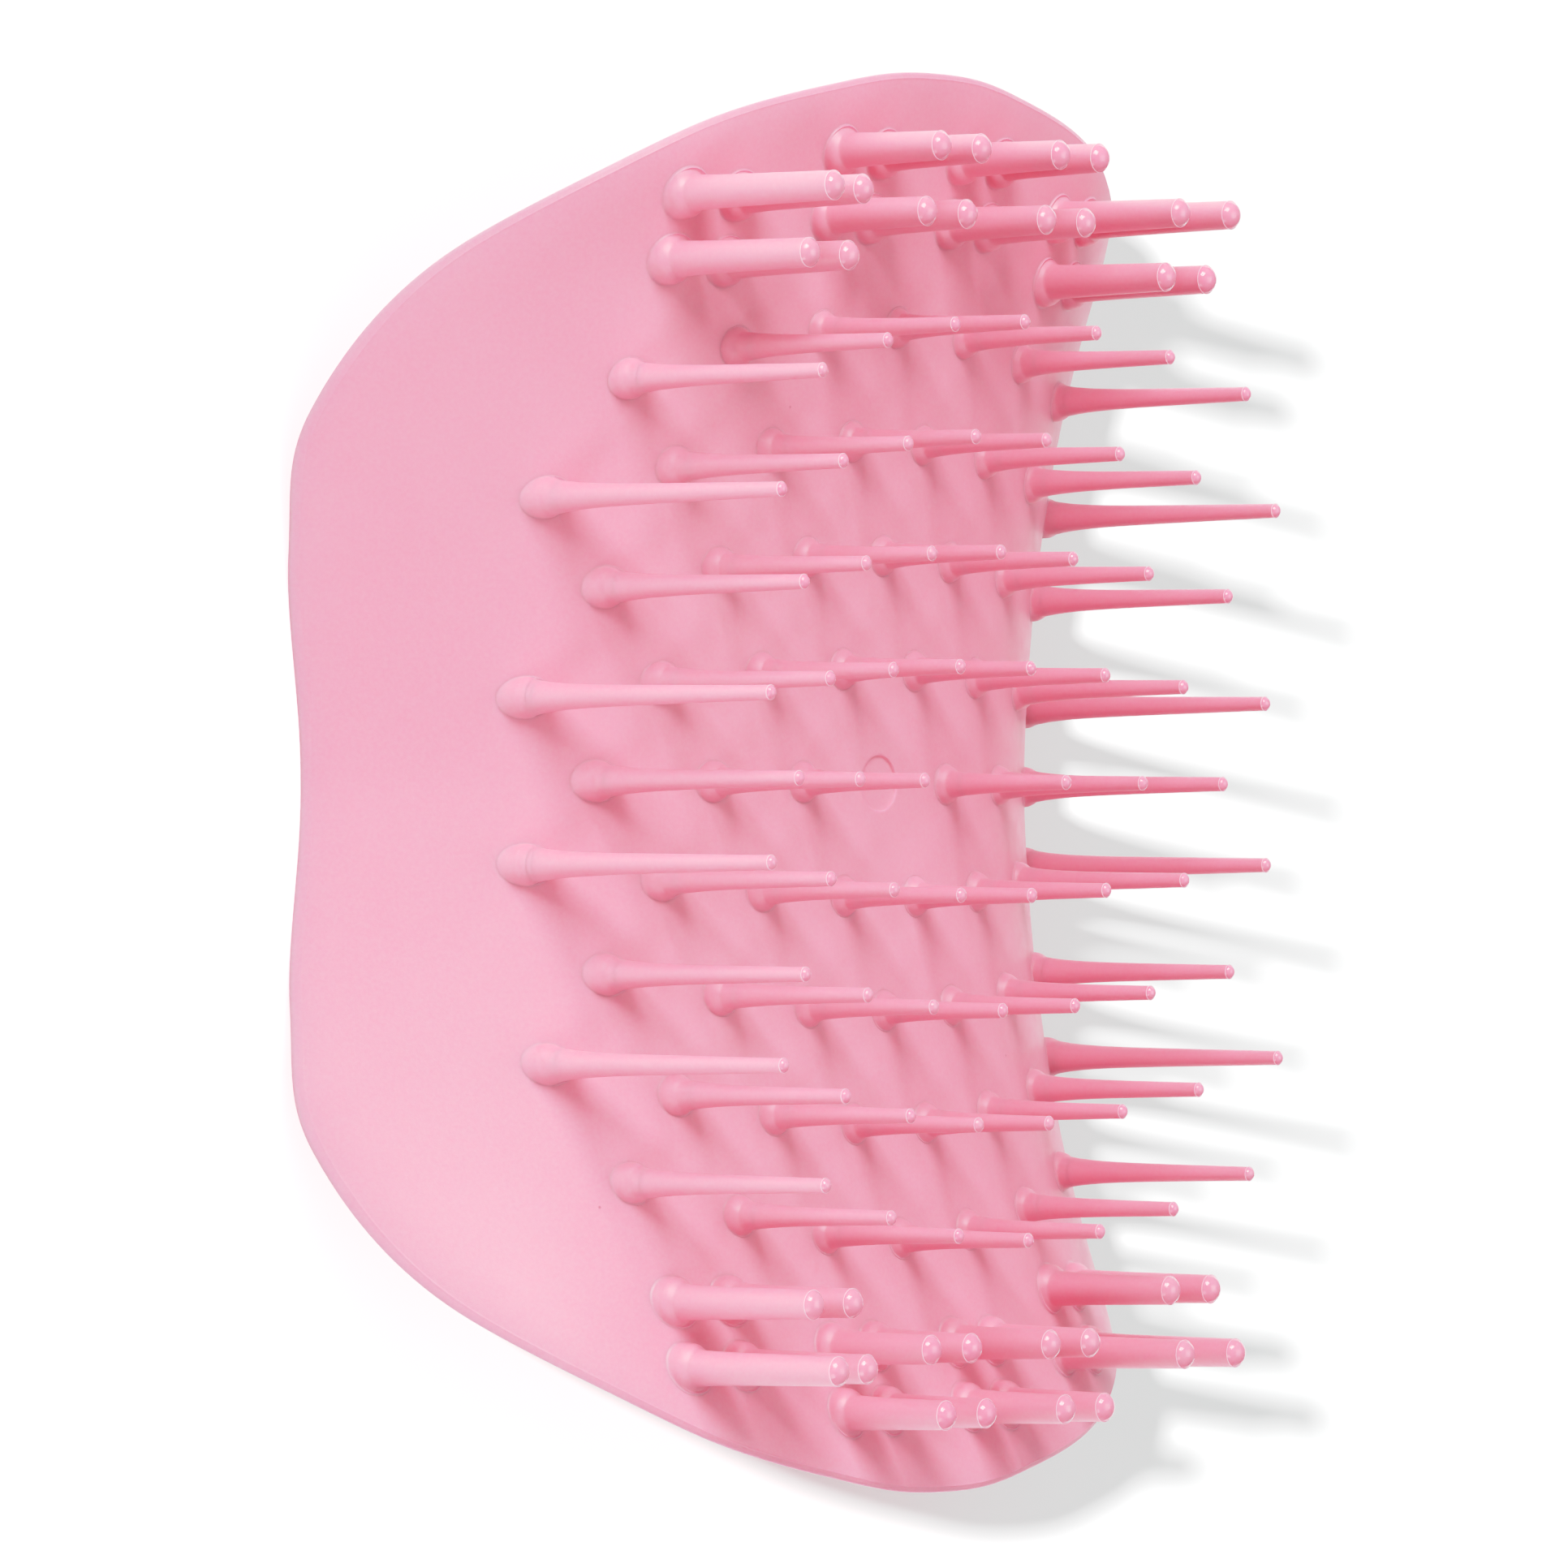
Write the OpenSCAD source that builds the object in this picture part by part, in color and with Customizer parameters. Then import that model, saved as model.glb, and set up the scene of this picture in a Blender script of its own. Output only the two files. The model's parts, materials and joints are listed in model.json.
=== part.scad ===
// Palm brush for massaging the scalp.  X is the width, Y the length, +Z the way the teeth point.
// The origin is under the middle of the brush, on the surface that its two side rims rest on.

/* [Body] */
// Half of the length, from the middle to either end
half_length = 54.5; // [54:0.1:55]
// Half of the width at the waist, midway along the length
waist_half_width = 42; // [41.5:0.1:42.5]
// Thickness of the shell that carries the teeth
plate_wall = 1.6; // [1.5:0.1:1.8]
// Thickness of the shell against the palm
cover_wall = 1.4; // [1.3:0.1:1.6]
// Deepest gap between the two shells, at the middle
hollow_depth = 6; // [5:0.5:7]

/* [Arch] */
// Drop of the tooth plate per square millimetre of distance from the middle line
arch_x2 = 0.00486; // [0.0046:0.0001:0.005]
// Extra drop towards the flanges, per fourth power of the distance
arch_x4 = 0.0000062; // [0.000006:0.0000001:0.0000064]
// Rise of the tooth plate towards its two ends, per square millimetre of distance
rise_y2 = 0.00145; // [0.0013:0.00005:0.0016]
// Share of the arch that has flattened out at the two ends
end_flattening = 0.75; // [0.7:0.01:0.8]
// Extra rise of the face close to its two ends
end_flare = 2.5; // [2:0.1:3]
// Distance from the middle line at which the plain flange starts
flange_start = 30; // [30:0.5:31]
// Slope of the plain flange, as drop per millimetre
flange_slope = 0.95; // [0.9:0.01:1]

/* [Thin teeth] */
// Distance between neighbouring thin teeth, along a row and from row to row
tooth_pitch = 8.8; // [8.6:0.1:9]
// Diameter of a thin tooth where it leaves its boss
tooth_root_d = 1.75; // [1.6:0.05:1.8]
// Diameter of a thin tooth just below its rounded tip
tooth_tip_d = 1.15; // [1.1:0.05:1.2]
// Diameter of the domed boss at the root of a thin tooth
boss_d = 3.3; // [3.2:0.05:3.4]
// Height of the middle tips above the middle of the plate
tip_height = 11.2; // [10.8:0.1:11.6]

/* [Thick teeth] */
// Distance between the four teeth of a cluster, both ways
cluster_pitch = 4.95; // [4.8:0.05:5.1]
// Diameter of a thick tooth where it leaves its collar
thick_root_d = 2.6; // [2.5:0.05:2.7]
// Diameter of a thick tooth just below its domed tip
thick_tip_d = 2.25; // [2.2:0.05:2.4]
// Diameter of the collar at the root of a thick tooth
collar_d = 3.9; // [3.7:0.1:4.1]

/* [Hidden] */
pair_names = ["middle_tooth", "inner_pair", "second_pair", "third_pair", "outer_pair"];
cluster_names = [
    for (end = ["head", "heel"]) for (ring = ["inner", "outer"]) for (side = ["left", "right"])
        str(end, "_", ring, "_", side, "_cluster")
];
// How far each row of thin teeth bows towards the waist, per square pitch, from row 5 outwards
row_bow = [0, 0.2, 0.32, 0.4, 0.52];
// Growth of the tip height per square millimetre, across and along the brush
tip_rise_x = 0.0031;
tip_rise_y = 0.0026;
// Middle of the clusters beside the middle line and of the outer clusters
cluster_inner = [7.4, 45.8];
cluster_outer = [22.25, 42];
// Tip heights of a cluster's teeth: [near waist, near end] for [near middle line, near flange]
inner_tips = [[12.7, 14.1], [12.7, 14.1]];
outer_tips = [[13, 14.4], [13.2, 15.6]];

// One quarter of the outline in plan, from the waist to the end; the rest is mirrored
quarter = [
    [waist_half_width, 0],
    [waist_half_width + 1.8, 17],
    [waist_half_width + 2, 28],
    [waist_half_width - 3.6, 40],
    [25.2, half_length - 5.3],
    [10, half_length - 1],
    [0, half_length],
];
corner_count = len(quarter) - 1;
// Fraction of the way to the outline at which the rim's rounding starts
rim_start = 0.93;
// Fraction within which the two shells stand apart; outside it they lie face to face
land_start = 0.88;
// Fractions at which each shell is drawn, from the middle to the outline
rings = [0.14, 0.28, 0.41, 0.53, 0.64, 0.74, 0.82, land_start, rim_start, 0.96, 0.985, 1];
// Width over which the arch turns into the straight flange
flange_turn = 8;
// Round gate mark in the middle of the plate: diameter, depth, and length of the tool that cuts it
gate_d = 4.3;
gate_depth = 0.25;
gate_cut = 2;
// Depth of a boss's centre below the face, and the gap between a boss and its tooth
boss_sink = 0.4;
boss_gap = 0.05;
// How far the domes of the thin and the thick teeth stand above the end of the shank
thin_cap = 0.35;
thick_cap = 0.68;
// Depth to which the thick teeth's collars are sunk into the plate
root_sink = 0.9;
// Diameter of the posts and their grip in each shell
post_d = 3;
post_grip = 0.8;
// Posts between the shells, as [fraction of the way out, share of a quarter turn]
post_places = [[0.505, 0.3667], [0.5, 0.75]];
rose = [0.96, 0.64, 0.72];
light_rose = [0.98, 0.74, 0.8];

function mirror_point(p, turn) = turn == 0 ? p : turn == 1 ? [-p[0], p[1]] : turn == 2 ? -p : [p[0], -p[1]];
// The whole ring of outline corners: quarters 1 and 3 are walked backwards
corners = [
    for (turn = [0:3]) for (i = [0:corner_count - 1])
        mirror_point(quarter[turn % 2 == 0 ? i : corner_count - i], turn)
];
corner_total = len(corners);
function corner(i) = corners[(i + corner_total) % corner_total];
// Smooth curve through the corners: a Catmull-Rom spline
function outline_point(i, t) =
    let (a = corner(i - 1), b = corner(i), c = corner(i + 1), d = corner(i + 2))
    b + t * 0.5 * (c - a)
      + t * t * (a - 2.5 * b + 2 * c - 0.5 * d)
      + t * t * t * (1.5 * (b - c) + 0.5 * (d - a));
segments_per_corner = 3;
outline = [
    for (i = [0:corner_total - 1]) for (s = [0:segments_per_corner - 1])
        outline_point(i, s / segments_per_corner)
];
segment_total = len(outline);

// The front face: an arch across the width that flattens towards the ends and rises along the length
function arch_share(y) = 1 - end_flattening * pow(abs(y) / half_length, 1.5);
function rise(y) = rise_y2 * y * y + end_flare * pow(y / half_length, 6);
function arch(x, y) = rise(y) - arch_share(y) * (arch_x2 * x * x + arch_x4 * pow(x, 4));
function arch_slope(x, y) = -arch_share(y) * (2 * arch_x2 * x + 4 * arch_x4 * pow(x, 3));
function flange(d, y) =
    let (s0 = arch_slope(flange_start, y), turn = min(d, flange_turn))
    arch(flange_start, y) + s0 * turn - (flange_slope + s0) * turn * turn / (2 * flange_turn)
        - flange_slope * max(0, d - flange_turn);
function front(x, y) = abs(x) <= flange_start ? arch(x, y) : flange(abs(x) - flange_start, y);

// Rounding of the rim, 1 where it starts and 0 at the outline
function rim_round(u) = sqrt(max(0, 1 - pow(max(0, (u - rim_start) / (1 - rim_start)), 2)));
function hollow(u) = hollow_depth * pow(max(0, 1 - pow(u / land_start, 2)), 1.5);
function plate_front(u, x, y) = front(x, y) - plate_wall * (1 - rim_round(u));
function plate_back(u, x, y) = front(x, y) - plate_wall;
function cover_front(u, x, y) = front(x, y) - plate_wall - hollow(u);
function cover_back(u, x, y) = cover_front(u, x, y) - cover_wall * rim_round(u);
function face_height(face, u, x, y) =
    face == "plate_front" ? plate_front(u, x, y) :
    face == "plate_back" ? plate_back(u, x, y) :
    face == "cover_front" ? cover_front(u, x, y) : cover_back(u, x, y);

function face_point(face, u, p) = [u * p[0], u * p[1], face_height(face, u, u * p[0], u * p[1])];
function face_ring(face, u) = [for (p = outline) face_point(face, u, p)];
// Height of the plate's middle above the surface that the rims rest on
body_lift = -min([for (u = rings) for (p = face_ring("cover_back", u)) p[2]]);

// Between two faces that meet at the outline: [points], [triangles]
inner_ring_count = len(rings) - 1;
function shell_points(upper, lower) = concat(
    [face_point(upper, 0, [0, 0])],
    [for (i = [0:inner_ring_count - 1]) each face_ring(upper, rings[i])],
    face_ring(upper, 1),
    [for (i = [0:inner_ring_count - 1]) each face_ring(lower, rings[i])],
    [face_point(lower, 0, [0, 0])]
);
function upper_at(ring, s) = 1 + ring * segment_total + s % segment_total;
function lower_at(ring, s) = ring == inner_ring_count ? upper_at(ring, s) : upper_at(ring + len(rings), s);
lower_middle = 1 + (len(rings) + inner_ring_count) * segment_total;
shell_faces = [
    for (s = [0:segment_total - 1]) each [
        [0, upper_at(0, s + 1), upper_at(0, s)],
        [lower_middle, lower_at(0, s), lower_at(0, s + 1)],
        for (r = [0:inner_ring_count - 1]) each [
            [upper_at(r, s), upper_at(r, s + 1), upper_at(r + 1, s + 1)],
            [upper_at(r, s), upper_at(r + 1, s + 1), upper_at(r + 1, s)],
            [lower_at(r, s), lower_at(r + 1, s + 1), lower_at(r, s + 1)],
            [lower_at(r, s), lower_at(r + 1, s), lower_at(r + 1, s + 1)],
        ],
    ],
];
module shell(upper, lower) {
    translate([0, 0, body_lift])
        polyhedron(points = shell_points(upper, lower), faces = shell_faces, convexity = 6);
}

function thin_name(row, pair) = str("row", row, "_", pair_names[pair]);
// Thin teeth: row 5 is at the waist, rows 1 and 9 are nearest the ends
function row_from_waist(row) = abs(row - 5);
function tooth_x(row, pair) = (row % 2 == 1 ? pair : pair - 0.5) * tooth_pitch;
function tooth_y(row, pair) =
    sign(5 - row) * (row_from_waist(row) * tooth_pitch
        - row_bow[row_from_waist(row)] * pow(tooth_x(row, pair) / tooth_pitch, 2));
function first_pair(row) = row % 2 == 0 || row == 5 ? 1 : 0;
function last_pair(row) = row % 2 == 0 ? 4 : 3;
function thin_tip(x, y) = tip_height + tip_rise_x * x * x + tip_rise_y * y * y;

module at_tooth(row, pair) {
    x = tooth_x(row, pair);
    for (side = pair == 0 ? [1] : [-1, 1])
        translate([side * x, tooth_y(row, pair), body_lift + front(x, tooth_y(row, pair))]) children();
}

// Ball sunk into the end of a shank so that its top stands out by a cap's height
module tip_ball(height, d, cap, facets) {
    translate([0, 0, height + cap - d / 2]) sphere(d = d, $fn = facets);
}
// One thin tooth standing on its boss: tapered shank, small shoulder, domed tip
module thin_tooth(height) {
    difference() {
        union() {
            cylinder(h = height, d1 = tooth_root_d, d2 = tooth_tip_d, $fn = 24);
            tip_ball(height, tooth_tip_d - 0.05, thin_cap, 24);
        }
        translate([0, 0, -boss_sink]) sphere(r = boss_d / 2 + boss_gap, $fn = 32);
    }
}
module thin_teeth(row, pair) {
    x = tooth_x(row, pair);
    y = tooth_y(row, pair);
    color(light_rose) at_tooth(row, pair) thin_tooth(thin_tip(x, y) - front(x, y));
}

// Domed bosses that the thin teeth stand on, sunk into the plate
module tooth_bosses() {
    color(rose)
        for (row = [1:9]) for (pair = [first_pair(row):last_pair(row)])
            at_tooth(row, pair) translate([0, 0, -boss_sink]) sphere(d = boss_d, $fn = 32);
}

module tooth_plate() {
    color(rose) difference() {
        shell("plate_front", "plate_back");
        translate([0, 0, body_lift - gate_depth]) cylinder(h = gate_cut, d = gate_d, $fn = 48);
    }
}
module back_cover() {
    color(rose) shell("cover_front", "cover_back");
}
// Posts that hold the two shells together, gripped by both
module locating_posts() {
    color(rose)
        for (place = post_places) for (turn = [0:3]) {
            i = floor(place[1] * corner_count);
            p = mirror_point(place[0] * outline_point(i, place[1] * corner_count - i), turn);
            top = plate_back(place[0], p[0], p[1]) + post_grip;
            bottom = cover_front(place[0], p[0], p[1]) - post_grip;
            translate([p[0], p[1], body_lift + bottom]) cylinder(h = top - bottom, d = post_d, $fn = 32);
        }
}

// One thick tooth: domed collar with a flat foot, tapered shank, domed tip
module thick_tooth(height) {
    difference() {
        sphere(d = collar_d, $fn = 32);
        translate([0, 0, -root_sink - collar_d / 2]) cube(collar_d, center = true);
    }
    cylinder(h = height, d1 = thick_root_d, d2 = thick_tip_d, $fn = 32);
    tip_ball(height, thick_tip_d - 0.05, thick_cap, 32);
}
// A cluster of four thick teeth; side and end are -1 or 1
module cluster(middle, tips, side, end) {
    color(light_rose)
        for (i = [0, 1]) for (j = [0, 1]) {
            x = middle[0] + (i - 0.5) * cluster_pitch;
            y = middle[1] + (j - 0.5) * cluster_pitch;
            translate([side * x, end * y, body_lift + front(x, y)]) thick_tooth(tips[i][j] - front(x, y));
        }
}

tooth_plate();
back_cover();
locating_posts();
tooth_bosses();
cluster(cluster_inner, inner_tips, -1, 1);  // head_inner_left_cluster
cluster(cluster_inner, inner_tips, -1, -1);  // heel_inner_left_cluster
cluster(cluster_inner, inner_tips, 1, 1);  // head_inner_right_cluster
cluster(cluster_inner, inner_tips, 1, -1);  // heel_inner_right_cluster
cluster(cluster_outer, outer_tips, -1, 1);  // head_outer_left_cluster
cluster(cluster_outer, outer_tips, -1, -1);  // heel_outer_left_cluster
cluster(cluster_outer, outer_tips, 1, 1);  // head_outer_right_cluster
cluster(cluster_outer, outer_tips, 1, -1);  // heel_outer_right_cluster
for (row = [1:9]) for (pair = [first_pair(row):last_pair(row)])
    thin_teeth(row, pair);
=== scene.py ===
"""Palm brush for massaging the scalp: one moulded pink plastic, thin and thick teeth on an arched body.

The frame is the CAD's: X is the width, Y the length, +Z the way the teeth point.  Lengths below are in
millimetres until a mesh is made.
"""

import json
import math

import bpy
import numpy as np
from mathutils import Matrix, Vector


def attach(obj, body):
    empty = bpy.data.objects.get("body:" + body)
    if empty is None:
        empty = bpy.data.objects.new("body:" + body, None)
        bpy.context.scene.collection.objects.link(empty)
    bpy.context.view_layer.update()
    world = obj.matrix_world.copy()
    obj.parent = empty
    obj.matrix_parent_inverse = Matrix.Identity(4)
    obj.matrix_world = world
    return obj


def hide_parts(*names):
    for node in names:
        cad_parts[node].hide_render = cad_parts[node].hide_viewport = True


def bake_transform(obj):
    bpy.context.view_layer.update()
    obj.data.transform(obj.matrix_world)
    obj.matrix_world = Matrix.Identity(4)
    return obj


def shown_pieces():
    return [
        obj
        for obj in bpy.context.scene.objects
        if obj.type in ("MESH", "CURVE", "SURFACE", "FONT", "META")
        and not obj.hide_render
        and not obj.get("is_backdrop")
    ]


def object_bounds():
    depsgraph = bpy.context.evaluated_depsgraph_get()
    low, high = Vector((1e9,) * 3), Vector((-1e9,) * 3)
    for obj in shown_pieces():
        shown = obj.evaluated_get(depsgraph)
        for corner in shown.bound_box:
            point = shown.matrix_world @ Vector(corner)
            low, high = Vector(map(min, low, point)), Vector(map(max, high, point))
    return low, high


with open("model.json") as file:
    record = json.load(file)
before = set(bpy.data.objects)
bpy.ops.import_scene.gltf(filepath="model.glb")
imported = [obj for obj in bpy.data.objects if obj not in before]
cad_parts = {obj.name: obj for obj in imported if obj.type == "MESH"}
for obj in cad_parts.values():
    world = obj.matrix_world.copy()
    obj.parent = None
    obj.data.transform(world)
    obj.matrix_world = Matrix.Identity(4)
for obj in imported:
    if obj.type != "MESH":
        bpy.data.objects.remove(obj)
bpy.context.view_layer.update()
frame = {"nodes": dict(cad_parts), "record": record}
MM = 0.001

# ---------------------------------------------------------------- the shape, as the CAD source has it
HALF_LENGTH, WAIST_HALF_WIDTH = 54.5, 42.0
PLATE_WALL, COVER_WALL, HOLLOW_DEPTH = 1.6, 1.4, 6.0
ARCH_X2, ARCH_X4, RISE_Y2 = 0.00486, 0.0000062, 0.00145
END_FLATTENING, END_FLARE = 0.75, 2.5
FLANGE_START, FLANGE_SLOPE, FLANGE_TURN = 30.0, 0.95, 8.0
RIM_START, LAND_START = 0.93, 0.88
PITCH, BOSS_R, BOSS_SINK, TIP_HEIGHT = 8.8, 1.65, 0.4, 11.2
TIP_R, TAPER = 0.56, 0.0166
THICK_ROOT_R, THICK_TIP_R, COLLAR_R = 1.3, 1.12, 1.95
CLUSTER_PITCH = 4.95
ROW_BOW = (0, 0.2, 0.32, 0.4, 0.52)
TIP_RISE_X, TIP_RISE_Y = 0.0031, 0.0026
THIN_CAP, THICK_CAP = 0.36, 0.7
PAIR_NAMES = ("middle_tooth", "inner_pair", "second_pair", "third_pair", "outer_pair")
CLUSTERS = {
    "inner": ((7.4, 45.8), ((12.7, 14.1), (12.7, 14.1))),
    "outer": ((22.25, 42.0), ((13.0, 14.4), (13.2, 15.6))),
}
QUARTER = [
    (WAIST_HALF_WIDTH, 0),
    (WAIST_HALF_WIDTH + 1.8, 17),
    (WAIST_HALF_WIDTH + 2, 28),
    (WAIST_HALF_WIDTH - 3.6, 40),
    (25.2, HALF_LENGTH - 5.3),
    (10, HALF_LENGTH - 1),
    (0, HALF_LENGTH),
]


def arch_share(y):
    return 1 - END_FLATTENING * np.abs(y / HALF_LENGTH) ** 1.5


def arch(x, y):
    rise = RISE_Y2 * y * y + END_FLARE * (y / HALF_LENGTH) ** 6
    return rise - arch_share(y) * (ARCH_X2 * x * x + ARCH_X4 * x**4)


def arch_slope(x, y):
    return -arch_share(y) * (2 * ARCH_X2 * x + 4 * ARCH_X4 * x**3)


def front(x, y):
    """Height of the face that carries the teeth, from the crown."""
    x = np.abs(np.asarray(x, float))
    y = np.asarray(y, float)
    d = x - FLANGE_START
    s0 = arch_slope(FLANGE_START, y)
    turn = np.clip(d, 0, FLANGE_TURN)
    flange = (
        arch(FLANGE_START, y)
        + s0 * turn
        - (FLANGE_SLOPE + s0) * turn**2 / (2 * FLANGE_TURN)
        - FLANGE_SLOPE * np.maximum(0, d - FLANGE_TURN)
    )
    return np.where(d <= 0, arch(x, y), flange)


def hollow(u):
    return HOLLOW_DEPTH * np.maximum(0, 1 - (u / LAND_START) ** 2) ** 1.5


def outline(steps):
    """Points of the outline in plan: a Catmull-Rom spline through the mirrored corners."""
    back = QUARTER[:0:-1]
    corners = np.array(
        QUARTER[:-1]
        + [(-x, y) for x, y in back]
        + [(-x, -y) for x, y in QUARTER[:-1]]
        + [(x, -y) for x, y in back],
        float,
    )
    a, b, c, d = (np.roll(corners, k, axis=0)[:, None] for k in (1, 0, -1, -2))
    t = (np.arange(steps) / steps)[None, :, None]
    curve = (
        b
        + t * 0.5 * (c - a)
        + t**2 * (a - 2.5 * b + 2 * c - 0.5 * d)
        + t**3 * (1.5 * (b - c) + 0.5 * (d - a))
    )
    return curve.reshape(-1, 2)


def tooth_x(row, pair):
    return (pair if row % 2 else pair - 0.5) * PITCH


def tooth_y(row, x):
    k = abs(row - 5)
    return math.copysign(1, 5 - row) * (k * PITCH - ROW_BOW[k] * (x / PITCH) ** 2)


def rows():
    """(node name, row, x, y) of each thin tooth or mirrored pair."""
    for row in range(1, 10):
        first = 1 if row % 2 == 0 or row == 5 else 0
        last = 4 if row % 2 == 0 else 3
        for pair in range(first, last + 1):
            x = tooth_x(row, pair)
            yield f"row{row}_{PAIR_NAMES[pair]}", x, tooth_y(row, x)


def tip_z(x, y):
    return TIP_HEIGHT + TIP_RISE_X * x * x + TIP_RISE_Y * y * y


def steepness(x, y):
    return abs(float(arch_slope(min(abs(x), FLANGE_START), y)))


# Height of the crown above the surface that the rims rest on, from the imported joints
joint = next(j for j in frame["record"]["behaviour"]["joints"] if j["name"] == "row5_inner_flex")
LIFT = joint["pos_m"][2] / MM + BOSS_SINK - float(front(PITCH, 0.0))


# ---------------------------------------------------------------- mesh helpers
def grid_mesh(rings, bottom, top, marks=None):
    """A closed skin through rings of points (mm from the crown), with a fan to the bottom and top points.

    marks gives a material index for the band above each ring.
    """
    n = len(rings[0])
    points = np.concatenate([*rings, [bottom, top]])
    marks = marks or [0] * len(rings)
    faces, index = [], []
    for k in range(len(rings) - 1):
        a, b = k * n, (k + 1) * n
        faces += [(a + s, a + (s + 1) % n, b + (s + 1) % n, b + s) for s in range(n)]
        index += [marks[k]] * n
    low, high = len(points) - 2, len(points) - 1
    last = (len(rings) - 1) * n
    faces += [(low, (s + 1) % n, s) for s in range(n)]
    index += [marks[0]] * n
    faces += [(high, last + s, last + (s + 1) % n) for s in range(n)]
    index += [marks[-1]] * n
    return points, faces, index


def turned_over(skin):
    """The same skin with its faces wound the other way, for rings that run from the top down."""
    points, faces, index = skin
    return points, [face[::-1] for face in faces], index


def make_piece(name, parts, materials, sharp=38):
    """One smooth object from several skins; edges that turn by more than sharp degrees stay sharp."""
    points, faces, index, base = [], [], [], 0
    for part_points, part_faces, part_index in parts:
        points.append(part_points)
        faces += [tuple(corner + base for corner in face) for face in part_faces]
        index += part_index
        base += len(part_points)
    places = (np.concatenate(points) + (0, 0, LIFT)) * MM
    mesh = bpy.data.meshes.new(name)
    mesh.from_pydata(places.tolist(), [], faces)
    for material in materials:
        mesh.materials.append(material)
    mesh.polygons.foreach_set("material_index", index)
    mesh.polygons.foreach_set("use_smooth", [True] * len(faces))
    mesh.update()
    mesh.set_sharp_from_angle(angle=math.radians(sharp))
    piece = bpy.data.objects.new(name, mesh)
    bpy.context.scene.collection.objects.link(piece)
    return piece


# ---------------------------------------------------------------- materials
SPECK_RED = (0.38, 0.05, 0.09)


def plastic(name, color, deep, roughness, bump, speck=True, specular=0.5):
    """Satin moulded plastic: color mottled with deep, a fine spark-eroded grain, and a few dust specks."""
    mat = bpy.data.materials.new(name)
    mat.use_nodes = True
    nt = mat.node_tree
    nodes, link = nt.nodes, nt.links.new
    bsdf = nodes["Principled BSDF"]
    where = nodes.new("ShaderNodeTexCoord").outputs["Object"]

    def noise(scale, detail, rough=0.5):
        texture = nodes.new("ShaderNodeTexNoise")
        texture.inputs["Scale"].default_value = scale
        texture.inputs["Detail"].default_value = detail
        texture.inputs["Roughness"].default_value = rough
        link(where, texture.inputs["Vector"])
        return texture.outputs["Fac"]

    def ramp(value, lo, hi, out_lo=0.0, out_hi=1.0):
        remap = nodes.new("ShaderNodeMapRange")
        for socket, limit in (("From Min", lo), ("From Max", hi), ("To Min", out_lo), ("To Max", out_hi)):
            remap.inputs[socket].default_value = limit
        link(value, remap.inputs["Value"])
        return remap.outputs["Result"]

    def mix(factor, a, b):
        blend = nodes.new("ShaderNodeMix")
        blend.data_type = "RGBA"
        link(factor, blend.inputs["Factor"])
        for socket, value in ((blend.inputs["A"], a), (blend.inputs["B"], b)):
            if isinstance(value, tuple):
                socket.default_value = (*value, 1)
            else:
                link(value, socket)
        return blend.outputs["Result"]

    def bumped(height, strength, depth, below=None):
        relief = nodes.new("ShaderNodeBump")
        relief.inputs["Strength"].default_value = strength
        relief.inputs["Distance"].default_value = depth
        link(height, relief.inputs["Height"])
        if below is not None:
            link(below, relief.inputs["Normal"])
        return relief.outputs["Normal"]

    cloud = ramp(noise(55, 2), 0.35, 0.65)
    grain = ramp(noise(3600, 2, 0.6), 0.3, 0.7)
    tone = mix(cloud, color, deep)
    lighter = tuple(min(1.0, c + (1 - c) * 0.10) for c in color)
    tone = mix(ramp(grain, 0, 1, 0.0, 0.35), tone, lighter)
    if speck:
        cell = nodes.new("ShaderNodeTexVoronoi")
        cell.inputs["Scale"].default_value = 105
        link(where, cell.inputs["Vector"])
        near = ramp(cell.outputs["Distance"], 0.006, 0.017, 1.0, 0.0)
        pick = nodes.new("ShaderNodeSeparateColor")
        link(cell.outputs["Color"], pick.inputs["Color"])
        chosen = ramp(pick.outputs["Red"], 0.70, 0.72)
        both = nodes.new("ShaderNodeMath")
        both.operation = "MULTIPLY"
        link(near, both.inputs[0])
        link(chosen, both.inputs[1])
        tone = mix(ramp(both.outputs[0], 0, 1, 0.0, 0.55), tone, SPECK_RED)
    link(tone, bsdf.inputs["Base Color"])
    link(ramp(noise(900, 3), 0.3, 0.7, roughness - 0.05, roughness + 0.06), bsdf.inputs["Roughness"])
    if bump:
        wave = bumped(noise(420, 2), 0.25, 0.02 * MM)
        link(bumped(noise(5200, 2, 0.6), bump, 0.03 * MM, wave), bsdf.inputs["Normal"])
    bsdf.inputs["IOR"].default_value = 1.47
    bsdf.inputs["Specular IOR Level"].default_value = specular
    bsdf.inputs["Subsurface Weight"].default_value = 0.6
    bsdf.inputs["Subsurface Radius"].default_value = (1.0, 0.35, 0.5)
    bsdf.inputs["Subsurface Scale"].default_value = 0.9 * MM
    return mat


PINK, TOOTH_PINK, DEEP_PINK = (0.875, 0.282, 0.385), (0.875, 0.262, 0.368), (0.87, 0.267, 0.37)
body_pink = plastic("body_pink", PINK, DEEP_PINK, 0.46, 0.30, specular=0.35)
palm_pink = plastic("palm_pink", PINK, DEEP_PINK, 0.40, 0.22)
tooth_pink = plastic("tooth_pink", TOOTH_PINK, DEEP_PINK, 0.48, 0.22, speck=False, specular=0.8)
tip_gloss = plastic("tip_gloss", (0.95, 0.25, 0.37), PINK, 0.1, 0, speck=False)
flash_light = plastic("flash_light", (0.96, 0.48, 0.58), (0.96, 0.45, 0.56), 0.2, 0, speck=False)

# ---------------------------------------------------------------- the two shells
STEPS = 18
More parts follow.
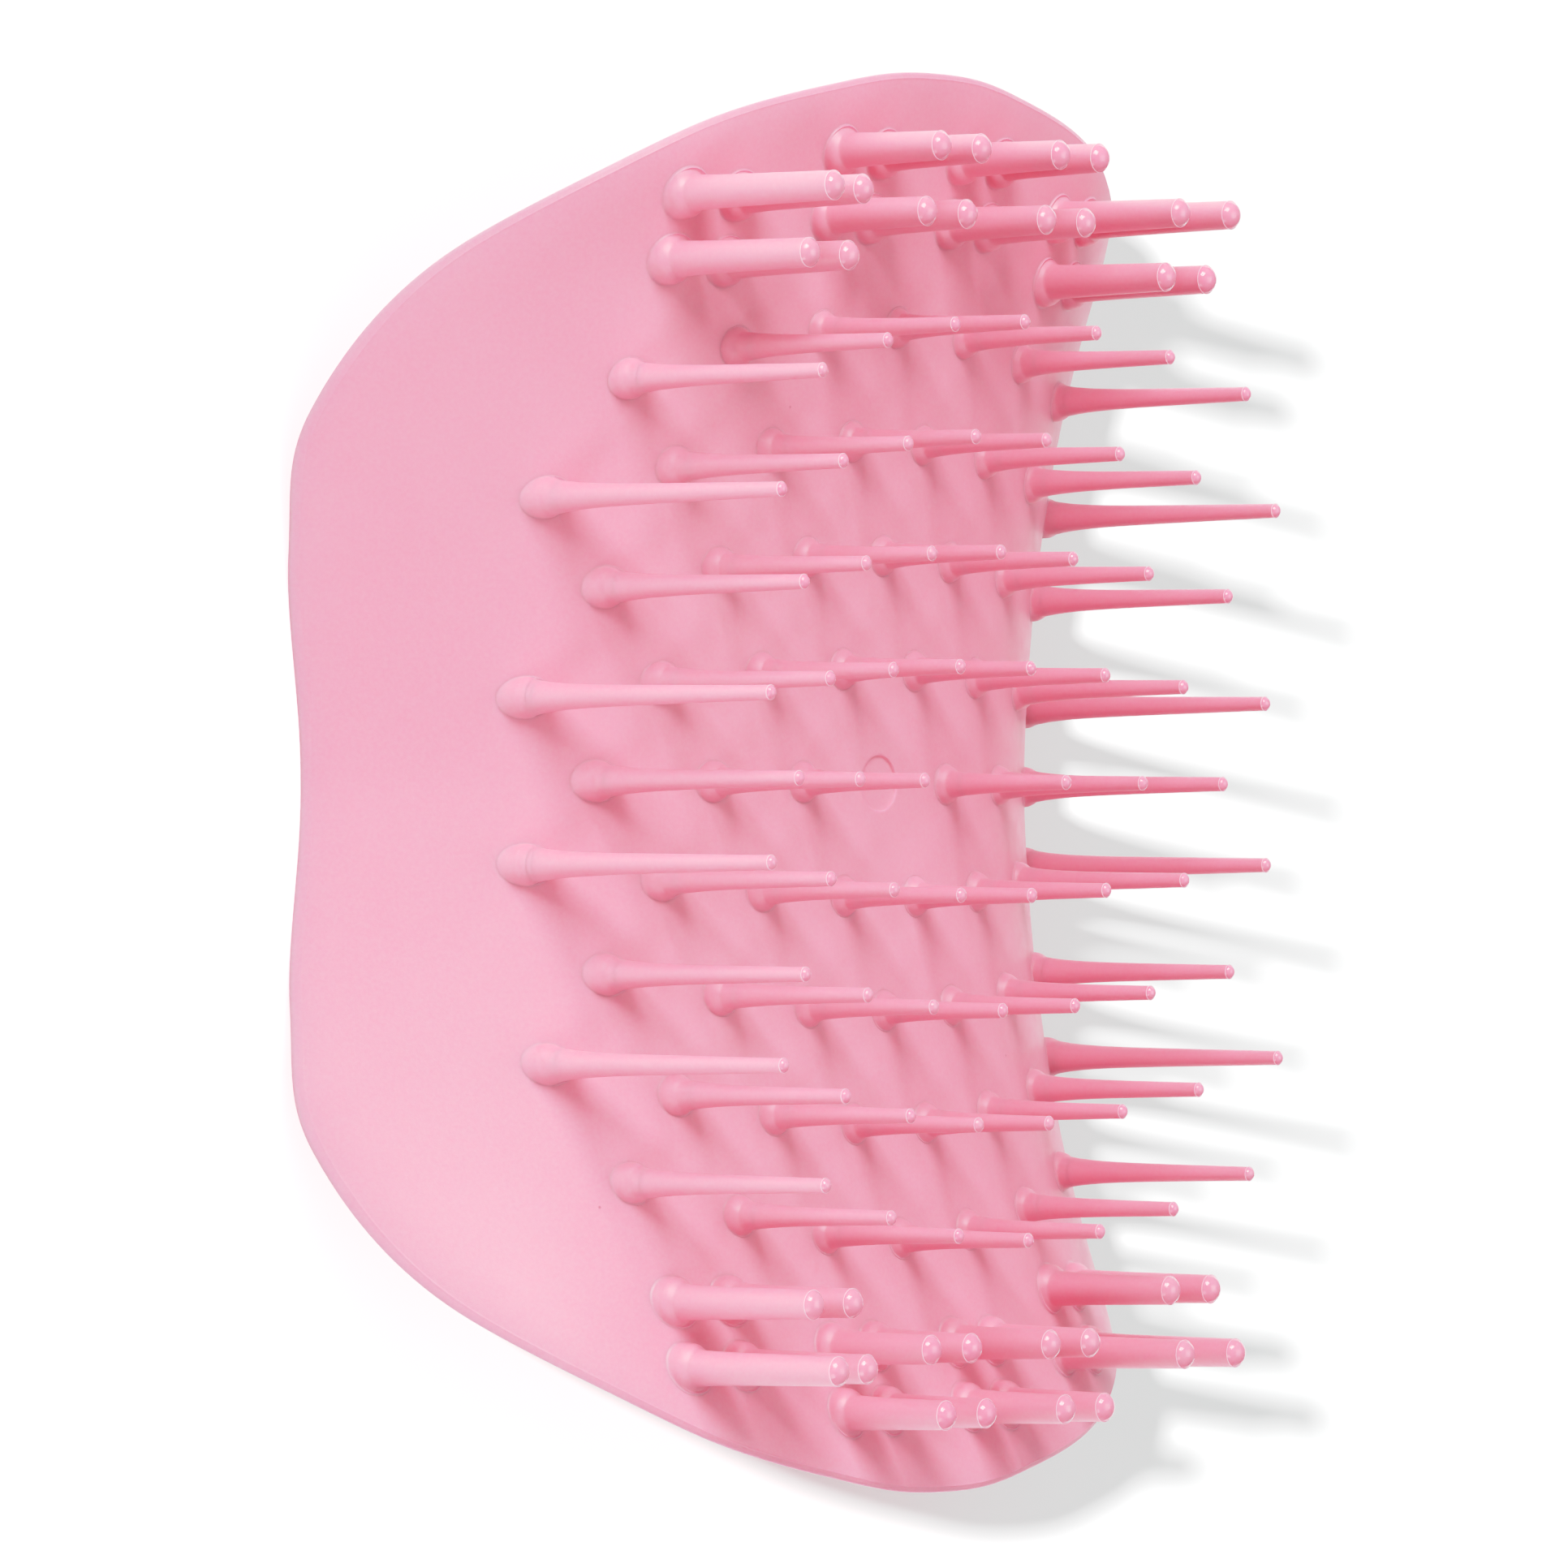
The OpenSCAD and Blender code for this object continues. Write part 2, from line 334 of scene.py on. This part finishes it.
# The rim is thinner than the CAD's half-round, so that it reaches a little further out to the same edge
EDGE = outline(STEPS) * (1.011, 1.003)
REACH = np.hypot(EDGE[:, 0], EDGE[:, 1])
WAY = EDGE / REACH[:, None]
MEAN_REACH = 48.0
CIRCLE_RADIUS, FORM_WIDTH = 3.2, 11.0
RIM_THINNING = 0.42
# The rim has a slight crest from CREST_FROM to each end; between, it only rolls over.  The crest lies at
# CREST_AT of the way over the rim's round, with a faint parting line along it.
CREST_FROM, CREST_AT, CREST_DROP, CREST_SHARE = 30.3, 0.88, 0.55, 0.35
PARTING_DEPTH, PARTING_WIDTH = 0.035, 0.012


def plan_ring(radius):
    """Ring in plan that is a circle near the middle and takes the outline's form further out."""
    form = min(1.0, max(0.0, (radius - CIRCLE_RADIUS) / FORM_WIDTH))
    form = form * form * (3 - 2 * form)
    share = radius / MEAN_REACH
    return WAY * ((1 - form) * radius + form * share * REACH)[:, None]


def crest_share(y):
    return 1 / (1 + np.exp(-(np.abs(y) - CREST_FROM) / 0.12))


def thinning(u):
    """Share of each shell's wall that is left at fraction u of the way out: it thins towards the rim."""
    t = min(1.0, max(0.0, (u - LAND_START) / (1 - LAND_START)))
    return 1 - RIM_THINNING * t * t * (3 - 2 * t)


RIM_WALL = PLATE_WALL * thinning(1)


def rim_drop(u, y):
    """How far the front has fallen at fraction u of the way out: a plain round or a crest and a band."""
    t = max(0.0, (u - RIM_START) / (1 - RIM_START))
    plain = RIM_WALL * (1 - math.sqrt(max(0.0, 1 - t * t)))
    if t < CREST_AT:
        crest = plain * CREST_DROP
    else:
        top = CREST_DROP * RIM_WALL * (1 - math.sqrt(1 - CREST_AT**2))
        crest = top + (RIM_WALL * 0.9 - top) * ((t - CREST_AT) / (1 - CREST_AT)) ** 1.15
    share = CREST_SHARE * crest_share(y)
    parting = PARTING_DEPTH * math.exp(-(((t - CREST_AT) / PARTING_WIDTH) ** 2))
    return (1 - share) * plain + share * crest - parting


def at(plan, z):
    return np.column_stack([plan, z])


# The gate mark: a round step down with a small nib in its middle, as (radius, height above its floor)
GATE_R, GATE_DEPTH, NIB_HEIGHT = 2.15, 0.25, 0.09
gate = [(0.14, 0.07), (0.26, 0.02), (0.33, 0), (0.8, 0), (1.4, 0), (1.9, 0), (2.06, 0.01), (2.12, 0.05)]
gate += [(GATE_R, GATE_DEPTH * 0.85), (2.2, GATE_DEPTH), (2.4, GATE_DEPTH), (3.2, GATE_DEPTH)]
rings = []
for radius, lift in gate:
    plan = plan_ring(radius)
    rings.append(at(plan, front(*plan.T) - GATE_DEPTH + lift))
for radius in (4.5, 6, 8, 10, 12, 14.5, 17, 19.5, 22, 24.5, 27, 29.5, 32, 34.5, 37, 39, 41, 43):
    plan = plan_ring(radius)
    rings.append(at(plan, front(*plan.T)))
smooth_steps = (0, 0.12, 0.24, 0.36, 0.48, 0.58, 0.66, 0.74, 0.8, 0.84)
crest_steps = (0.865, 0.875, CREST_AT, 0.885, 0.895, 0.91, 0.93, 0.95, 0.97, 0.99, 1)
for t in smooth_steps + crest_steps:
    u = RIM_START + t * (1 - RIM_START)
    plan = EDGE * u
    rings.append(at(plan, front(*plan.T) - rim_drop(u, plan[:, 1])))
# The seam: the rim turns in a little before it meets the palm shell
for u, drop in ((0.9985, 0.93), (0.9965, 1.0), (0.985, 1.0), (0.96, 1.0), (0.93, 1.0), (0.88, 1.0)):
    plan = EDGE * u
    rings.append(at(plan, front(*plan.T) - PLATE_WALL * thinning(u) * drop))
for radius in (38, 34, 30, 26, 22, 18, 14, 10, 6, 3):
    plan = plan_ring(radius)
    rings.append(at(plan, front(*plan.T) - PLATE_WALL))
# The first ring is the innermost on the front, so the skin is turned over
skin = turned_over(grid_mesh(rings, bottom=(0, 0, NIB_HEIGHT - GATE_DEPTH), top=(0, 0, -PLATE_WALL)))
front_shell = make_piece("front_shell", [skin], [body_pink], sharp=50)
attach(front_shell, "body")
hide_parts("tooth_plate")

# The palm shell, from the middle of its inner face out to the rim and back in along the palm side
SEAM_GAP, THINNEST = 0.004, 0.09
rings = []
for radius in (3, 8, 14, 20, 26, 32, 37, 40, 42):
    plan = plan_ring(radius)
    rings.append(at(plan, front(*plan.T) - PLATE_WALL - hollow(radius / MEAN_REACH)))
for u, back in ((0.90, 0), (0.93, 0), (0.96, 0), (0.985, 0), (0.9965, 0), (0.9985, 0.06)):
    plan = EDGE * u
    rings.append(at(plan, front(*plan.T) - PLATE_WALL * thinning(u) - back - SEAM_GAP))
for t in (0.998, 0.99, 0.975, 0.95, 0.92, 0.87, 0.8, 0.7, 0.58, 0.44, 0.3, 0.15, 0):
    u = RIM_START + t * (1 - RIM_START)
    plan = EDGE * u
    edge = COVER_WALL * math.sqrt(max(0, 1 - t * t))
    rings.append(at(plan, front(*plan.T) - (PLATE_WALL + max(edge, THINNEST)) * thinning(u)))
for radius in (43, 41.5, 40, 38, 36, 34, 32, 30, 28, 26, 24, 22, 20, 17.5, 15, 12, 9, 6, 3, 1.5):
    plan = plan_ring(radius)
    rings.append(at(plan, front(*plan.T) - PLATE_WALL - hollow(radius / MEAN_REACH) - COVER_WALL))
inside = -PLATE_WALL - HOLLOW_DEPTH
skin = turned_over(grid_mesh(rings, bottom=(0, 0, inside), top=(0, 0, inside - COVER_WALL)))
palm_shell = make_piece("palm_shell", [skin], [palm_pink], sharp=50)
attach(palm_shell, "body")
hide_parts("back_cover")

posts = frame["nodes"]["locating_posts"]
posts.data.materials.clear()
posts.data.materials.append(palm_pink)

# ---------------------------------------------------------------- teeth
TURN, DOME_STEPS, DOME_BLEND = 32, 12, 0.22
ANGLE = np.arange(TURN) * 2 * math.pi / TURN


def circle(x, y, radius):
    return np.column_stack([x + radius * np.cos(ANGLE), y + radius * np.sin(ANGLE)])


def dome_rings(x, y, radius, height, centre, neck, skirt):
    """Rings of a domed base: a sunk foot, a soft skirt on the face, then a dome up to the tooth's neck.

    The dome is an ellipsoid: radius across, height along Z from its centre.
    """
    foot = circle(x, y, radius + skirt)
    rings = [at(foot, front(*foot.T) - 0.5)]
    for d in (1.0, 0.78, 0.58, 0.4, 0.24, 0.1):
        plan = circle(x, y, radius + skirt * d)
        rise = 1 - np.sqrt(1 - (1 - d) ** 2)
        rings.append(at(plan, front(*plan.T) + skirt * rise - (0.02 if d == 1 else 0)))
    last = math.acos(neck / radius)
    for k in range(DOME_STEPS + 1):
        a = last * k / DOME_STEPS
        plan = circle(x, y, radius * math.cos(a))
        dome = centre + height * math.sin(a)
        face = front(*plan.T) + skirt * 0.9 * (1 - k / DOME_STEPS)
        # Smooth maximum of the dome and the face that it rises from
        gap = np.clip(0.5 + 0.5 * (dome - face) / DOME_BLEND, 0, 1)
        rings.append(at(plan, face * (1 - gap) + dome * gap + DOME_BLEND * gap * (1 - gap)))
    return rings, centre + height * math.sin(last)


def shank_radius(z, foot, tip, tip_r, taper, flare, fade):
    """Radius of a tooth at height z: a straight taper and a flare that dies away above the base."""
    return tip_r + taper * (tip - z) + flare * math.exp(-max(0.0, z - foot) / fade)


def tip_rings(x, y, tip, tip_r, cap, flash):
    """The tip, a fine flash line and a polished dome, as rings, their materials and the top point."""
    rings, marks = [], []
    for r, z, mark in (
        (tip_r, -0.045, 2),
        (tip_r + flash, -0.02, 2),
        (tip_r + flash, 0.012, 2),
        (tip_r - 0.012, 0.02, 1),
    ):
        rings.append(at(circle(x, y, r), np.full(TURN, tip + z)))
        marks.append(mark)
    inner = tip_r - 0.02
    ball = (inner**2 + cap**2) / (2 * cap)
    widest = math.asin(min(1.0, inner / ball))
    for k in range(10):
        a = widest * (1 - k / 10)
        r, z = ball * math.sin(a), cap - ball * (1 - math.cos(a))
        rings.append(at(circle(x, y, r), np.full(TURN, tip + 0.02 + z)))
        marks.append(1)
    return rings, marks, (x, y, tip + 0.02 + cap)


def thin_radius(z, corner, tip):
    """A longer tooth flares a little more above its boss."""
    return shank_radius(z, corner, tip, TIP_R, TAPER, 0.15 + 0.014 * (tip - corner), 2.5)


def boss(x, y):
    """The domed root of a thin tooth, and the height at which the tooth leaves it."""
    z0, slope, tip = float(front(x, y)), steepness(x, y), tip_z(x, y)
    # The neck's radius, taken a millimetre above the root
    neck = thin_radius(z0 + 1, z0 + 1, tip) + 0.05
    centre = z0 - BOSS_SINK + 0.5 * slope
    rings, corner = dome_rings(x, y, BOSS_R - 0.05, BOSS_R * 0.94, centre, neck, 0.08)
    for t, extra in ((0.05, 0.03), (0.12, 0.016), (0.24, 0.008), (0.42, 0.004), (0.7, 0.002), (1.2, 0.001)):
        z = corner + t
        rings.append(at(circle(x, y, thin_radius(z, corner, tip) + extra), np.full(TURN, z)))
    return grid_mesh(rings, bottom=(x, y, z0 - 0.7), top=(x, y, corner + 1.2)), corner


def thin_tooth(x, y, corner):
    tip = tip_z(x, y)
    rings, marks = [at(circle(x, y, 0.7), np.full(TURN, corner - 0.3))], [0]
    count = 16
    for k in range(count + 1):
        z = corner + 0.02 + (tip - 0.1 - corner) * (k / count) ** 1.25
        rings.append(at(circle(x, y, thin_radius(z, corner, tip)), np.full(TURN, z)))
        marks.append(0)
    more, kinds, top = tip_rings(x, y, tip, TIP_R, THIN_CAP, 0.03)
    return grid_mesh(rings + more, bottom=(x, y, corner - 0.4), top=top, marks=marks + kinds)


bosses, corners = [], {}
for node, x, y in rows():
    for side in (1,) if x == 0 else (-1, 1):
        part, corners[node] = boss(side * x, y)
        bosses.append(part)
root_bosses = make_piece("root_bosses", bosses, [tooth_pink])
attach(root_bosses, "body")
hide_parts("tooth_bosses")

for node, x, y in rows():
    sides = (1,) if x == 0 else (-1, 1)
    parts = [thin_tooth(side * x, y, corners[node]) for side in sides]
    tooth = make_piece(node + "_looks", parts, [tooth_pink, tip_gloss, flash_light])
    start, end = corners[node] + 0.3, corners[node] + 0.55 * (tip_z(x, y) - corners[node])
    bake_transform(tooth)
    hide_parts(node)


def thick_radius(z, corner, tip):
    taper = (THICK_ROOT_R - THICK_TIP_R) / (tip - corner)
    return shank_radius(z, corner, tip, THICK_TIP_R, taper, 0.1, 1.5)


def thick_tooth(x, y, tip):
    z0 = float(front(x, y))
    rings, corner = dome_rings(x, y, COLLAR_R - 0.05, COLLAR_R * 0.7, z0, THICK_ROOT_R + 0.16, 0.2)
    for t, extra in ((0.04, 0.045), (0.1, 0.022), (0.2, 0.008)):
        z = corner + t
        rings.append(at(circle(x, y, thick_radius(z, corner, tip) + extra), np.full(TURN, z)))
    count = 14
    for k in range(count + 1):
        z = corner + 0.35 + (tip - 0.1 - corner - 0.35) * k / count
        rings.append(at(circle(x, y, thick_radius(z, corner, tip)), np.full(TURN, z)))
    marks = [0] * len(rings)
    more, kinds, top = tip_rings(x, y, tip, THICK_TIP_R, THICK_CAP, 0.035)
    return grid_mesh(rings + more, bottom=(x, y, z0 - 0.7), top=top, marks=marks + kinds)


for ring, (middle_at, tips) in CLUSTERS.items():
    for end, along in (("head", 1), ("heel", -1)):
        for side, across in (("left", -1), ("right", 1)):
            node = f"{end}_{ring}_{side}_cluster"
            parts = [
                thick_tooth(
                    across * (middle_at[0] + (i - 0.5) * CLUSTER_PITCH),
                    along * (middle_at[1] + (j - 0.5) * CLUSTER_PITCH),
                    tips[i][j],
                )
                for i in (0, 1)
                for j in (0, 1)
            ]
            cluster = make_piece(node + "_looks", parts, [tooth_pink, tip_gloss, flash_light])
            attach(cluster, "body")
            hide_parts(node)

# ---------------------------------------------------------------- floor, light, camera
scene = bpy.context.scene
floor_mat = bpy.data.materials.new("floor_paper")
floor_mat.use_nodes = True
nt = floor_mat.node_tree
paper = nt.nodes["Principled BSDF"]
fibre = nt.nodes.new("ShaderNodeTexNoise")
fibre.inputs["Scale"].default_value = 60
tint = nt.nodes.new("ShaderNodeMix")
tint.data_type = "RGBA"
tint.inputs["A"].default_value = (0.90, 0.90, 0.90, 1)
tint.inputs["B"].default_value = (0.92, 0.92, 0.92, 1)
nt.links.new(nt.nodes.new("ShaderNodeTexCoord").outputs["Object"], fibre.inputs["Vector"])
nt.links.new(fibre.outputs["Fac"], tint.inputs["Factor"])
nt.links.new(tint.outputs["Result"], paper.inputs["Base Color"])
paper.inputs["Roughness"].default_value = 0.9
paper.inputs["Specular IOR Level"].default_value = 0.1

FLOOR_R, FLOOR_CORNERS = 3.0, 96
around = [2 * math.pi * k / FLOOR_CORNERS for k in range(FLOOR_CORNERS)]
floor_mesh = bpy.data.meshes.new("floor")
floor_mesh.from_pydata(
    [(FLOOR_R * math.cos(a), FLOOR_R * math.sin(a), 0) for a in around], [], [tuple(range(FLOOR_CORNERS))]
)
floor_mesh.materials.append(floor_mat)
floor = bpy.data.objects.new("floor", floor_mesh)
# The thinner rim ends a little above the CAD's lowest edge, and rests on the floor there
floor.location.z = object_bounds()[0][2]
scene.collection.objects.link(floor)
floor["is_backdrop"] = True

# The backdrop looks as pale as the floor, but lights the brush less
BACKDROP_LIGHT, BACKDROP_LOOK = 0.17, 1.85
world = bpy.data.worlds.new("studio")
world.use_nodes = True
nodes, link = world.node_tree.nodes, world.node_tree.links.new
nodes["Background"].inputs["Color"].default_value = (1.0, 1.0, 1.0, 1)
strength = nodes.new("ShaderNodeMapRange")
strength.inputs["To Min"].default_value = BACKDROP_LIGHT
strength.inputs["To Max"].default_value = BACKDROP_LOOK
link(nodes.new("ShaderNodeLightPath").outputs["Is Camera Ray"], strength.inputs["Value"])
link(strength.outputs["Result"], nodes["Background"].inputs["Strength"])
scene.world = world


def lit(name, objects):
    """A collection for light linking: a lamp that has it as receivers lights only these objects."""
    group = bpy.data.collections.new(name)
    for piece in objects:
        group.objects.link(piece)
    return group


def lamp(name, data, energy, towards, distance, receivers):
    """Place a lamp at a distance from the crown, in the direction towards it, facing the crown."""
    data.energy = energy
    light = bpy.data.objects.new(name, data)
    scene.collection.objects.link(light)
    direction = Vector(towards).normalized()
    light.location = Vector((0, 0, LIFT * MM)) + direction * distance
    light.rotation_mode = "QUATERNION"
    light.rotation_quaternion = direction.to_track_quat("Z", "Y")
    light.light_linking.receiver_collection = receivers


def area(name, width, height):
    data = bpy.data.lights.new(name, "AREA")
    data.shape = "RECTANGLE"
    data.size, data.size_y = width, height
    return data


def sun(name, degrees, color=(1, 1, 1)):
    data = bpy.data.lights.new(name, "SUN")
    data.angle = math.radians(degrees)
    data.color = color
    return data


brush_only = lit("lit_object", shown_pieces())
floor_only = lit("lit_floor", [floor])
lamp("key", area("key", 0.52, 0.40), 13.8, (-0.42, 0.68, 0.60), 1.0, brush_only)
lamp("front", area("front", 0.7, 0.7), 5.3, (0.24, 0.0, 0.97), 1.0, brush_only)
lamp("low_fill", area("low_fill", 0.10, 0.10), 0.15, (-0.66, -0.62, 0.42), 0.24, brush_only)
lamp("floor_sun", sun("floor_sun", 2.4), 8.8, (-1.62, 0.21, 1.0), 1.5, floor_only)
# A little green and blue in the fill cancels the pink that the brush throws on the floor
lamp("floor_fill", sun("floor_fill", 120, (0.955, 1.0, 0.99)), 2.45, (0, 0, 1.0), 1.5, floor_only)

# The view: turned about the brush's length towards the left flange, then tilted and rolled a little, and
# looking from CAMERA_AT in its own axes, which start at the crown
VIEW_TURN, VIEW_TILT, VIEW_ROLL = -51.0, 0.854, -0.2075
CAMERA_AT = Vector((-6.399, 0.662, 922.64)) * MM
SENSOR, FOCAL_LENGTH = 36.0, 273.74
lens = bpy.data.cameras.new("camera")
lens.sensor_width = SENSOR
lens.lens = FOCAL_LENGTH
lens.shift_x, lens.shift_y = -0.0082, -0.0060
lens.clip_start, lens.clip_end = 0.05, 20
turn = (
    Matrix.Rotation(math.radians(VIEW_TURN), 4, "Y")
    @ Matrix.Rotation(math.radians(VIEW_TILT), 4, "X")
    @ Matrix.Rotation(math.radians(VIEW_ROLL), 4, "Z")
)
camera = bpy.data.objects.new("camera", lens)
scene.collection.objects.link(camera)
camera.matrix_world = Matrix.Translation((0, 0, LIFT * MM)) @ turn @ Matrix.Translation(CAMERA_AT)
scene.camera = camera

# A camera's own soft shoulder, as (light, level): highlights roll off a channel at a time, so that lit pink
# goes pale
SHOULDER = ((0.12, 0.12), (0.25, 0.25), (0.45, 0.43), (0.7, 0.62), (1.0, 0.765), (1.3, 0.845), (1.6, 0.915))
WHITE = 1.9
scene.view_settings.view_transform = "Standard"
scene.view_settings.use_curve_mapping = True
mapping = scene.view_settings.curve_mapping
mapping.white_level = (WHITE,) * 3
mapping.clip_max_x = mapping.clip_max_y = 1.0
for light, level in SHOULDER:
    mapping.curves[3].points.new(light / WHITE, level)
mapping.update()
